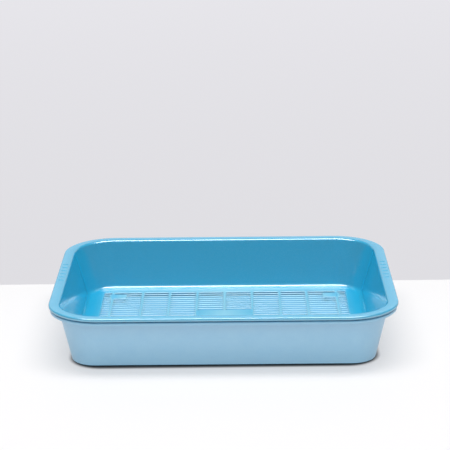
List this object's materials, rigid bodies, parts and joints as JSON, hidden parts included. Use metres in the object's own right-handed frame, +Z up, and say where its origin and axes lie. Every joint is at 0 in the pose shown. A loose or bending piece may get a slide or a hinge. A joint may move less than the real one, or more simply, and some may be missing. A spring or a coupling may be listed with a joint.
{
  "type": "sifting litter tray",
  "caption": "Open cat litter tray: a slotted sifting tray nests in a solid pan and lifts straight out, so clean litter falls through its floor.",
  "frame": {"origin": "on the table surface, under the middle of the pan", "axes": "+X along the long side, +Y towards the back, +Z up out of the tray"},
  "size_m": [0.483, 0.381, 0.081],
  "materials": {
    "pan_plastic": "pearl gloss, pale blue",
    "sifter_plastic": "pearl gloss, blue"
  },
  "bodies": {
    "pan": {"base_pan": "pan_plastic"},
    "sifter": {"sifting_tray": "sifter_plastic"}
  },
  "joints": [
    {"name": "sifter_lift", "type": "slide", "parent": "pan", "child": "sifter", "axis": [0, 0, 1], "range_m": [0, 0.12]}
  ]
}
